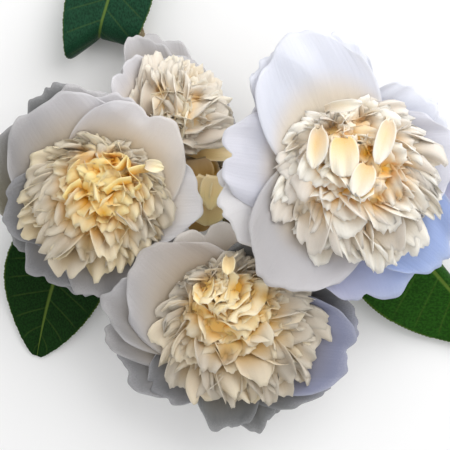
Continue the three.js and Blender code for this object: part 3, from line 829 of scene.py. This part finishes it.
# The rule for one tongue of a mound, at this angle and this far from the pole, for petaloidSheet to shape.
def ruledTongue(mound, angle, share, draw):
    def drawn(key):
        return draw(*tongueDraw[key])

    flat = mound.edge(angle) - mound.pole[:2]
    place = mound.pole[:2] + flat * share * drawn("share")
    tip = np.array([*place, mound.height(place) + drawn("up")])
    way = flat / np.linalg.norm(flat)
    heading = math.atan2(way[1] - mound.hang * share, way[0]) + drawn("heading")
    span = np.linalg.norm(flat) / mound.radii.mean()
    ofRing = {key: mix(*ends, share) for key, ends in tongueShape.items()}
    tip[2] -= ofRing["low"]
    pitch = math.radians(ofRing["pitch"] + drawn("pitch"))
    level = math.cos(pitch)
    ahead = np.array([math.cos(heading) * level, math.sin(heading) * level, math.sin(pitch)])
    out = petaloidShape["footOut"] * (0.3 + 0.7 * share)
    folded = draw(-1, 1)
    return {
        "foot": mound.at + np.array([math.cos(angle) * out, math.sin(angle) * out, petaloidShape["footUp"]]),
        "tipAt": tip,
        "third": tip - ahead * drawn("reach") * (0.7 + 0.4 * span),
        "heading": heading,
        "width": ofRing["width"] * drawn("width") * (0.8 + 0.25 * span),
        "cup": ofRing["cup"] * drawn("cup"),
        "fold": ofRing["fold"] * math.copysign(mix(0.45, 1, abs(folded)), folded),
        "ruffle": ofRing["ruffle"] * drawn("ruffle"),
        "waves": drawn("waves"),
        "sharp": petaloidShape["sharp"] * (1 - share),
        "phase": drawn("phase"),
        "twist": ofRing["twist"] * drawn("twist"),
        "notch": petaloidShape["notch"] * max(0, drawn("notch")),
        "notchAt": drawn("notchAt"),
        "tip": drawn("tip"),
        "round": drawn("round"),
    }


def makeCentre(place, bloom):
    pile = SheetPile()
    shape, mound = bloom["mound"], Mound(bloom)
    draw = seeded(shape["seed"])
    thick = petaloidShape["thick"]
    sheets = []
    frills = [placedFrill(frill, mound) for frill in bloom.get("frills", [])]
    roll = seeded(shape["seed"] + 1)
    spoons = [placedSpoon(spoon, mound, roll) for spoon in bloom["spoons"]]
    # the tongues stay under what shows of the spoons
    ceiling = HeightMap()
    for sheet, uv, tint in spoons:
        ceiling.add(sheet[:, int(spoonShape["hidden"] * len(sheet[0])):] * (1, 1, -1), 0)

    def lay(sheet, tint, uv=None, bare=petaloidShape["bare"], thick=thick, deep=1.0):
        # over the guard petals, from this share of its length on; golden toward its foot, and painted shade,
        # golden to brown, where it lies deep under the mound and in the pits
        v = petalGrid(*sheet.shape[:2])[1]
        raised = smooth(v, bare, bare + petaloidShape["settle"])
        sheet = heights.drape(sheet, thick + petaloidShape["clear"], raised)[0]
        far = smooth(mound.share(sheet), *petaloidShape["heart"])[..., None]
        golden = mix(*(np.array(petalTintsAndShades[name]) for name in shape["deep"]), far)
        depth = smooth(mound.height(sheet) - sheet[..., 2], *petaloidShape["depth"]) * (uv is None) * deep
        pit = mound.pit(sheet) * (uv is None)
        sheet[..., 2] -= petaloidShape["pitDepth"] * pit
        depth = np.maximum(depth, pit)
        along = smooth(v if uv is None else uv[..., 1], *petaloidShape["goldEnd"])
        along = petaloidShape["footGold"] * (1 - along)
        if uv is None:
            i, j = ceiling.indices(sheet)
            sheet[..., 2] = np.minimum(sheet[..., 2], -ceiling.top[i, j] - spoonShape["under"])
        # painted shade: the sheet turns golden to brown where it lies deep under the mound and in the pits,
        # mixed with its golden foot, and in the pits it loses its pale rim
        own = pile.coloured(tint, sheet.shape[:2])
        own[..., :3] = mix(own[..., :3], golden, (1 - (1 - depth) * (1 - along))[..., None])
        own[..., 3] *= 1 - pit
        pile.add(sheet, thick, own, uv)
        sheets.append(sheet)

    # rings under the edge, which hide the heart from the side, then the mound's own tongues
    fill = seeded(shape["seed"] + 2)
    for share, drop in skirtShape["rings"]:
        count = int(2 * math.pi * mound.radii.mean() * share / skirtShape["apart"])
        for i in range(count):
            angle = 2 * math.pi * (i + fill(*moundShape["uneven"])) / count
            rule = ruledTongue(mound, angle, share, fill)
            for end in ("tipAt", "third"):
                rule[end][2] -= drop
            rule["grid"] = skirtShape["grid"]
            tint = petalTintsAndShades[shape["outer"][int(fill() * len(shape["outer"]))]]
            lay(petaloidSheet(rule), tint, deep=skirtShape["deep"])
    for ring, (share, count) in enumerate(shape["tongues"]):
        for i in range(count):
            angle = 2 * math.pi * (i + 0.5 * (ring % 2) + draw(*moundShape["uneven"])) / count
            tints = [pile.coloured(petalTintsAndShades[shape[zone][int(draw() * len(shape[zone]))]], ())
                     for zone in ("inner", "outer")]
            tint = mix(*tints, smooth(share, *petaloidShape["blend"]))
            sun, strength = shape.get("sun", (0, 0))
            tint[:3] *= 1 + strength * share * math.cos(angle - math.radians(sun))
            rule = ruledTongue(mound, angle, share, draw)
            if (ring, i) not in shape.get("skip", []):
                lay(petaloidSheet(rule), tint)
    for sheet, uv in frills:
        lay(sheet, petalTintsAndShades[shape["inner"][0]], uv, 0, frillShape["thick"])
    for sheet, uv, tint in spoons:
        lay(sheet, tint, uv, 0)
    for sheet in sheets:
        heights.add(sheet, thick)
    turns = np.linspace(0, 2 * np.pi, heartShape["around"], endpoint=False)
    reach = np.array(heartShape["reach"])
    pole = mound.pole[:2]
    heart = np.array([[[*mix(pole, mound.edge(turn), share), 0] for share in reach] for turn in turns])
    heart[..., 2] = mound.height(heart) - np.array(heartShape["sink"])
    # the heart takes the painted crevice shade colours, golden near the pole and brown outward
    far = smooth(reach, *petaloidShape["heart"])[..., None]
    pile.addTube(heart, mix(*(np.array(petalTintsAndShades[name]) for name in shape["deep"]), far))
    piece = pile.build(place + "Petaloids", [petaloidSkins[place]])
    settle(piece, place + "_bloom_centre")
    print(place, "petaloids:", len(sheets))


for place, bloom in blooms.items():
    makeGuards(place, bloom)
    makeCentre(place, bloom)


# Calyx: overlapping scales under each bloom, from the twig's end up to the petals.
calyxShape = {
    "profile": [(2.6, -9.1), (4.0, -8.2), (6.0, -6.2), (7.4, -3.8), (8.1, -1.6), (8.3, 0.4)],
    "rings": [  # count, from and to along the profile, width in degrees, how far out
        (5, 0.30, 1.0, 92, 0.0), (5, 0.12, 0.84, 88, 0.35), (4, 0.0, 0.62, 96, 0.7),
        (3, 0.0, 0.34, 100, 1.05),
    ],
    "thick": 0.45, "grid": (11, 11), "around": 24, "narrow": 0.28, "uneven": (-0.08, 0.08),
    "cupWall": 0.4, "cupStart": (0.05, -9.1), "cupEnd": [(4.0, -1.0), (0.05, -1.0)],
    "scaleTint": (0.26, 0.26, 0.09), "cupTint": (0.2, 0.22, 0.07),
}
calyxSkin = makePetalSkin(
    "calyxSkin",
    {"Foot": (0.13, 0.17, 0.04, 1), "Glow": (0.2, 0.22, 0.06, 1), "Rim": (0.3, 0.22, 0.1, 1),
     "Foot_End": 0.5, "Glow_End": 0.9, "Rim_Share": 0.8},
    {"Count": 10.0, "Depth": 0.8},
    {"Subsurface_Weight": 0.15, "Subsurface_Scale": 0.001, "Specular_IOR_Level": 0.35,
     "Sheen_Weight": 0.25, "Sheen_Roughness": 0.4},
    rough=(0.5, 0.65), bump=0.0004,
)


def makeCalyx(place, bloom):
    pile = SheetPile()
    lean, at = leanOf(bloom), np.array(bloom["at"])
    profile = np.array(calyxShape["profile"])
    steps = np.linspace(0, 1, len(profile))
    u, v = petalGrid(*calyxShape["grid"])
    draw = seeded(len(place) + 3)
    for count, start, end, wide, out in calyxShape["rings"]:
        for i in range(count):
            along = mix(start, end, v * (1 - calyxShape["narrow"] * np.abs(u) ** 2.2))
            radius = np.interp(along, steps, profile[:, 0]) + out * (1 - 0.4 * v) - 0.5 * u * u * out
            height = np.interp(along, steps, profile[:, 1])
            spread = math.radians(wide / 2) * np.sin(np.pi * np.clip(0.22 + 0.6 * v, 0, 1)) ** 0.7
            around = 2 * math.pi * (i + 0.37 * out * 3) / count + draw(*calyxShape["uneven"]) + u * spread
            sepal = polar(radius, around, height)
            pile.add(sepal @ lean.T + at, calyxShape["thick"], calyxShape["scaleTint"])
    # the cup inside the scales
    turns = np.linspace(0, 2 * np.pi, calyxShape["around"], endpoint=False)
    wall = [(r - calyxShape["cupWall"], z) for r, z in calyxShape["profile"]]
    radii, rises = np.array([calyxShape["cupStart"], *wall, *calyxShape["cupEnd"]]).T
    pile.addTube(polar(radii, turns[:, None], rises) @ lean.T + at, calyxShape["cupTint"])
    settle(pile.build(place + "Sepals", [calyxSkin]), place + "_bloom_calyx")


for place, bloom in blooms.items():
    makeCalyx(place, bloom)
print("calyces made")


def smoothPath(points, count):
    # a centripetal curve through the points, at even steps, and its length
    points = np.array(points, float)
    ends = [2 * points[0] - points[1], *points, 2 * points[-1] - points[-2]]
    fine = []
    for a, b, c, d in zip(ends, ends[1:], ends[2:], ends[3:]):
        knots = np.cumsum([0, *[math.sqrt(np.linalg.norm(q - p)) for p, q in ((a, b), (b, c), (c, d))]])
        t = np.linspace(knots[1], knots[2], 40, endpoint=False)[:, None]
        t0, t1, t2, t3 = knots
        ab = (t1 - t) / (t1 - t0) * a + (t - t0) / (t1 - t0) * b
        bc = (t2 - t) / (t2 - t1) * b + (t - t1) / (t2 - t1) * c
        cd = (t3 - t) / (t3 - t2) * c + (t - t2) / (t3 - t2) * d
        abc = (t2 - t) / (t2 - t0) * ab + (t - t0) / (t2 - t0) * bc
        bcd = (t3 - t) / (t3 - t1) * bc + (t - t1) / (t3 - t1) * cd
        fine.append((t2 - t) / (t2 - t1) * abc + (t - t1) / (t2 - t1) * bcd)
    fine = np.concatenate([*fine, points[-1:]])
    run = np.concatenate([[0], np.cumsum(np.linalg.norm(np.diff(fine, axis=0), axis=1))])
    at = np.linspace(0, run[-1], count)
    return np.stack([np.interp(at, run, fine[:, axis]) for axis in range(3)], -1), run[-1]


def tubeRings(path, radii, around, along, relief=None):
    middle, length = smoothPath(path, along)
    way = unit(np.gradient(middle, axis=0))
    side = unit(np.cross([0, 0, 1.0], way))
    upward = np.cross(way, side)
    turns = np.linspace(0, 2 * np.pi, around, endpoint=False)[:, None]
    radius = np.broadcast_to(mix(radii[0], radii[1], np.linspace(0, 1, along)), (around, along))
    if relief is not None:
        radius = radius + relief(turns, np.linspace(0, length, along)[None, :])
    radius = radius[..., None]
    rings = middle + side * radius * np.cos(turns)[..., None] + upward * radius * np.sin(turns)[..., None]
    ends = [np.broadcast_to(middle[end], (around, 1, 3)) * 0.98 + rings[:, [end]] * 0.02 for end in (0, -1)]
    return np.concatenate([ends[0], rings, ends[1]], 1)


# Twigs by node: the path of their middle, radius at foot and tip, and where along them a joint swells.
twigs = {
    "main_twig": {
        "path": [(-45, 146, 3.6), (-41, 122, 3.3), (-37, 98, 3.2), (-34.3, 76, 3.2), (-24, 55, 3.2),
                 (-10, 38, 3.2), (-0.5, 20, 3.2), (1.4, 0, 3.1), (1.2, -20, 3.2), (1.0, -30.5, 5.2),
                 (1.1, -33.8, 7.3)],
        "radius": (3.2, 2.3), "along": 330, "joints": (13, 38, 62, 90, 117, 141, 163),
    },
    "right_twig": {
        "path": [(0.3, 14, 3.4), (9, 14.5, 5.5), (21, 17.8, 10), (33, 21.4, 17), (37.2, 22.1, 23.3)],
        "radius": (2.3, 2.2), "along": 150, "joints": (14, 33, 49),
    },
    "left_twig": {
        "path": [(-5, 29, 3.4), (-14, 20, 3.6), (-25, 14.6, 4.4), (-35, 13, 7), (-41.5, 14.2, 9.5),
                 (-43.2, 14.9, 12.2)],
        "radius": (2.2, 2.1), "along": 110, "joints": (12, 29),
    },
    "top_twig": {
        "path": [(-22.5, 53, 3.4), (-28, 42, 3.8), (-31.8, 31, 4), (-30, 26.2, 5.6), (-28.8, 25.5, 7)],
        "radius": (2.0, 1.9), "along": 90, "joints": (10, 22),
    },
}
# Each furrow of the bark draws its depth, how many run round the twig, and how fast they turn along it.
barkShape = {
    "around": 40, "sink": 0.22, "furrow": 0.12, "lump": 0.1, "joint": 0.4, "jointLength": 1.1,
    "furrows": 10, "deep": (0.4, 1), "count": (3, 12), "pull": (0.02, 0.12),
}
barkTones = {
    "foot": (0.24, 0.18, 0.11), "tip": (0.17, 0.2, 0.08), "cut": (0.62, 0.55, 0.36),
    "patch": (0.12, 0.085, 0.05, 1), "speck": (0.42, 0.36, 0.26, 1),
}


def makeBark():
    material, tree, shader = newMaterial("twigBark", Specular_IOR_Level=0.25)
    tint = addTint(tree)
    place = tree.nodes.new("ShaderNodeTexCoord")
    patches = addNoise(tree, 260, 5)
    patches.inputs["Roughness"].default_value = 0.65
    specks = tree.nodes.new("ShaderNodeTexVoronoi")
    specks.inputs["Scale"].default_value = 700
    for texture in (patches, specks):
        tree.links.new(place.outputs["Object"], texture.inputs["Vector"])
    dark = mapRange(tree, patches.outputs[0], 0.42, 0.62)
    darker = mixColour(tree, dark, tint.outputs["Color"], barkTones["patch"])
    pale = mapRange(tree, specks.outputs["Distance"], 0.28, 0.1)
    speckled = mixColour(tree, pale, darker, barkTones["speck"])
    tree.links.new(speckled, shader.inputs["Base Color"])
    tree.links.new(mapRange(tree, patches.outputs[0], 0.3, 0.7, 0.75, 0.92), shader.inputs["Roughness"])
    addBump(tree, shader, maths(tree, "ADD", patches.outputs[0], specks.outputs["Distance"]), 0.0003)
    return material


barkSkin = makeBark()


def makeTwig(node, twig):
    draw = seeded(len(node) * 13)
    deep, counts, pulls = (barkShape[key] for key in ("deep", "count", "pull"))
    furrows = [(draw(*deep), int(draw(*counts)), draw(*pulls), draw(0, 6.28))
               for _ in range(barkShape["furrows"])]

    def relief(turn, run):
        # how far the bark stands out, round the twig and along it
        rough = sum(size * np.sin(count * turn + pull * run * 6 + shift + 0.8 * np.sin(run * 0.35 + count))
                    for size, count, pull, shift in furrows) / 5
        lumps = np.sin(run * 0.55 + 1.2 * np.sin(turn)) * barkShape["lump"]
        joints = sum(np.exp(-((run - at) / barkShape["jointLength"]) ** 2) * (0.6 + 0.4 * np.cos(turn - at))
                     for at in twig["joints"])
        swelling = (lumps + barkShape["joint"] * joints) / 2
        return barkShape["furrow"] * rough + swelling - barkShape["sink"]

    rings = tubeRings(twig["path"], twig["radius"], barkShape["around"], twig["along"], relief)
    around, along = rings.shape[:2]
    young = np.linspace(0, 1, along)[None, :, None]
    tint = mix(np.array(barkTones["foot"]), np.array(barkTones["tip"]), young ** 2)
    tint = np.broadcast_to(tint, (around, along, 3)).copy()
    if node == "main_twig":
        tint[:, :2] = barkTones["cut"]
    pile = SheetPile()
    pile.addTube(rings, tint)
    settle(pile.build(node + "Bark", [barkSkin]), node)


for node, twig in twigs.items():
    makeTwig(node, twig)
print("twigs made")


# Leaves: where the blade starts, its bearing and pitch in degrees, and the arcs that its spine bends in, each
# a length and an angle. The roll curls one half of the blade under, and late sets its sides back.
leaves = {
    "left": {
        "base": (-52, 9.5, 6.4), "bearing": -108.6, "length": 63, "width": 40, "bow": -2.5,
        "pitch": -1, "arcs": [(63, -7)], "fold": 5, "grid": (41, 110), "green": (0.006, 0.028, 0.004),
        "stalk": [(-41.5, 13.6, 8.6), (-46, 11.8, 7.2), (-52.5, 9.3, 6.3)],
    },
    "right": {
        "base": (48, 13.2, 19.2), "bearing": -46.9, "length": 80, "width": 54, "bow": 1.5,
        "pitch": -12, "arcs": [(80, 2)], "fold": -10, "roll": 4.5, "grid": (51, 120),
        "green": (0.014, 0.062, 0.005),
        "stalk": [(37.6, 20.6, 20.5), (42, 17.2, 20), (48.4, 12.8, 19.1)],
    },
    "top": {
        "base": (-33.5, 119, 8.3), "bearing": -106, "length": 76, "width": 32.3, "bow": 0,
        "pitch": 12, "arcs": [(44, -8), (20, -180), (10, 0)], "fold": 4, "late": (1.25, -0.1),
        "grid": (41, 150), "green": (0.010, 0.046, 0.022),
        "stalk": [(-38.8, 131, 5), (-36.2, 126, 6.8), (-33.6, 118.4, 8.4)],
    },
}
bladeShape = {
    "start": 0.02, "end": 0.985, "skew": 0.85, "full": 0.75, "rollTurn": 3.3, "thick": 0.5, "rim": 0.5,
    "teeth": 62, "tooth": 0.45, "veins": 9, "slant": 1.15, "bow": 0.9, "stagger": 0.25, "veinWidth": 0.1,
    "veinDepth": 0.16, "ribDepth": 0.5, "ribWidth": 0.7, "wave": 0.5, "step": 0.1, "spare": 30,
}
stalkShape = {"radius": (1.3, 0.9), "grid": (20, 40), "tint": (0.2, 0.26, 0.07)}
leafTones = {"deep": 0.72, "light": 1.35, "margin": 0.5, "uneven": 0.06, "specular": 0.06}
# A leaf's two sides: their own green as a share of the leaf's and an amount more, their midrib and veins.
leafSides = {
    "Upper": {
        "green": (1, 0), "rib": (0.16, 0.24, 0.04), "ribShare": 0.6, "veinShare": 0.12, "rough": 0.34,
    },
    "Under": {
        "green": (2.2, 0.02), "rib": (0.25, 0.32, 0.1), "ribShare": 0.9, "veinShare": 0.35, "rough": 0.6,
    },
}


def veinPhase(u, v):
    # 0 on each side vein, 0.5 halfway between two
    slant = bladeShape["slant"] * np.abs(u) ** bladeShape["bow"]
    phase = v * bladeShape["veins"] - slant + bladeShape["stagger"] * np.sign(u)
    return np.abs(phase - np.round(phase))


def leafMiddle(leaf, u, v):
    shape = bladeShape
    blade = np.sin(np.pi * mix(shape["start"], shape["end"], v) ** shape["skew"]) ** shape["full"]
    half = leaf["width"] / 2 * blade
    saw = (v * shape["teeth"]) % 1
    half = half + shape["tooth"] * (saw - 0.5) * smooth(np.abs(u), 0.93, 1) * smooth(half, 1, 5)
    fold = math.radians(leaf["fold"])
    across, off = half * u * math.cos(fold), half * np.abs(u) * math.sin(fold)
    if "roll" in leaf:
        turn = shape["rollTurn"] * u
        radius = leaf["roll"] * blade
        across = np.where(u > 0, radius * np.sin(turn), across)
        off = np.where(u > 0, -radius * (1 - np.cos(turn)), off)
    late = np.zeros_like(across)
    if "late" in leaf:
        late = np.abs(across) * np.where(across > 0, leaf["late"][1], leaf["late"][0])
    veins = np.exp(-(veinPhase(u, v) / shape["veinWidth"]) ** 2)
    veins = veins * smooth(np.abs(u), 0.02, 0.12) * smooth(1 - np.abs(u), 0.04, 0.25)
    rib = np.exp(-(half * u / shape["ribWidth"]) ** 2) * smooth(half, 0.5, 4)
    wave = shape["wave"] * np.sin(v * 16 + 2 * u) * u * u
    off = off - shape["veinDepth"] * veins - shape["ribDepth"] * rib + wave * smooth(half, 1, 6)
    distance = leaf["length"] * v - late
    # the spine, integrated from its arcs
    steps = np.arange(0, leaf["length"] + shape["spare"], shape["step"])
    bends = np.zeros_like(steps)
    start = 0
    for length, bend in leaf["arcs"]:
        bends[(steps >= start) & (steps < start + length)] = math.radians(bend) / length
        start += length
    pitches = math.radians(leaf["pitch"]) + np.cumsum(bends) * shape["step"]
    along = np.interp(distance, steps, np.cumsum(np.cos(pitches)) * shape["step"])
    up = np.interp(distance, steps, np.cumsum(np.sin(pitches)) * shape["step"])
    pitch = np.interp(distance, steps, pitches)
    before = np.minimum(distance, 0)
    along = along + before * math.cos(pitches[0])
    up = up + before * math.sin(pitches[0])
    forward = along + late - off * np.sin(pitch)
    side = across + leaf["bow"] * np.sin(np.pi * v)
    a = math.radians(leaf["bearing"])
    base = leaf["base"]
    return np.stack([base[0] + forward * math.cos(a) - side * math.sin(a),
                     base[1] + forward * math.sin(a) + side * math.cos(a),
                     base[2] + up + off * np.cos(pitch)], -1)


# Veins of a leaf as masks: the midrib, and the side veins that leave it toward the tip.
def makeLeafVeins():
    group, given, out = newGroup(
        "leafVeins",
        [("Veins", "NodeSocketFloat", 9.0), ("Slant", "NodeSocketFloat", 1.15),
         ("Bow", "NodeSocketFloat", 0.9), ("Stagger", "NodeSocketFloat", 0.25)],
        [("Midrib", "NodeSocketFloat"), ("Side Veins", "NodeSocketFloat"), ("Margin", "NodeSocketFloat")],
    )
    across, along = sheetPlace(group)
    across = fromMiddle(group, across)
    side = maths(group, "ABSOLUTE", across)
    bowed = maths(group, "POWER", side, given.outputs["Bow"])
    slant = maths(group, "MULTIPLY", bowed, given.outputs["Slant"])
    shifted = maths(group, "MULTIPLY", maths(group, "SIGN", across), given.outputs["Stagger"])
    along = maths(group, "MULTIPLY", along, given.outputs["Veins"])
    phase = maths(group, "ADD", maths(group, "SUBTRACT", along, slant), shifted)
    nearest = maths(group, "ABSOLUTE", maths(group, "SUBTRACT", phase, maths(group, "ROUND", phase)))
    fading = mapRange(group, side, 1.0, 0.7)
    veins = maths(group, "MULTIPLY", mapRange(group, nearest, 0.075, 0.0), fading)
    group.links.new(mapRange(group, side, 0.055, 0.012), out.inputs["Midrib"])
    group.links.new(veins, out.inputs["Side Veins"])
    group.links.new(mapRange(group, side, 0.96, 1.0), out.inputs["Margin"])
    return group


leafVeins = makeLeafVeins()


def makeLeafSkin(name, green, side):
    material, tree, shader = newMaterial(name, Specular_IOR_Level=leafTones["specular"])
    masks = put(tree, leafVeins, Veins=float(bladeShape["veins"]), Slant=bladeShape["slant"],
                Bow=bladeShape["bow"], Stagger=bladeShape["stagger"])
    cloudy = addNoise(tree, 70, 4)
    times, more = side["green"]
    own = [c * times + more for c in green]
    deep, light = ((*(c * leafTones[tone] for c in own), 1) for tone in ("deep", "light"))
    blade = mixColour(tree, mapRange(tree, cloudy.outputs[0], 0.35, 0.65), deep, light)
    shares = {"Side Veins": side["veinShare"], "Midrib": side["ribShare"], "Margin": leafTones["margin"]}
    for mask, share in shares.items():
        blade = mixColour(tree, maths(tree, "MULTIPLY", masks.outputs[mask], share), blade, (*side["rib"], 1))
    tree.links.new(blade, shader.inputs["Base Color"])
    smoothest, roughest = (side["rough"] + sign * leafTones["uneven"] for sign in (-1, 1))
    gloss = mapRange(tree, cloudy.outputs[0], 0.3, 0.7, smoothest, roughest)
    tree.links.new(gloss, shader.inputs["Roughness"])
    addBump(tree, shader, addNoise(tree, 1400, 3).outputs[0], 0.00012, 0.6)
    return material


def makeLeaf(place, leaf):
    pile = SheetPile()
    u, v = petalGrid(*leaf["grid"])
    uv = np.stack([(1 - u) / 2, v], -1)
    pile.add(leafMiddle(leaf, u, v)[::-1], bladeShape["thick"], uv=uv, rim=bladeShape["rim"])
    pile.addTube(tubeRings(leaf["stalk"], stalkShape["radius"], *stalkShape["grid"]), stalkShape["tint"])
    skins = [makeLeafSkin(place + "Leaf" + name, leaf["green"], side) for name, side in leafSides.items()]
    settle(pile.build(place + "Leaf", skins), place + "_leaf")


for place, leaf in leaves.items():
    makeLeaf(place, leaf)
print("leaves made")


# Light, camera and floor, in metres
studio = {
    "world": 0.82, "keyFrom": (0.35, 0.45, 0.5), "keySize": 0.8, "keyPower": 4.5, "nearest": 0.01,
    "floor": 2, "paint": {"Base_Color": (0.9, 0.9, 0.9, 1), "Roughness": 0.8},
}


def makeStudio():
    scene = bpy.context.scene
    world = bpy.data.worlds.new("studio")
    scene.world = world
    world.use_nodes = True
    background = world.node_tree.nodes["Background"]
    background.inputs[0].default_value = (1, 1, 1, 1)
    background.inputs[1].default_value = studio["world"]
    lamp = bpy.data.lights.new("key", "AREA")
    lamp.size = studio["keySize"]
    lamp.energy = studio["keyPower"]
    key = bpy.data.objects.new("key", lamp)
    key.location = studio["keyFrom"]
    key.rotation_mode = "QUATERNION"
    key.rotation_quaternion = Vector(studio["keyFrom"]).to_track_quat("Z", "Y")
    scene.collection.objects.link(key)
    camera = bpy.data.cameras.new("camera")
    camera.lens = photoView["lens"]
    camera.sensor_width = photoView["sensor"]
    camera.clip_start = studio["nearest"]
    eye = bpy.data.objects.new("camera", camera)
    eye.location = (np.array([0, 0, photoView["height"]]) - sprigMiddle) * millimetre
    scene.collection.objects.link(eye)
    scene.camera = eye
    mesh = bpy.data.meshes.new("floor")
    far = studio["floor"]
    mesh.from_pydata([(-far, -far, 0), (far, -far, 0), (far, far, 0), (-far, far, 0)], [], [(0, 1, 2, 3)])
    floor = bpy.data.objects.new("floor", mesh)
    scene.collection.objects.link(floor)
    mesh.materials.append(newMaterial("floorPaint", **studio["paint"])[0])
    scene.view_settings.view_transform = "Standard"


makeStudio()
print("studio made")
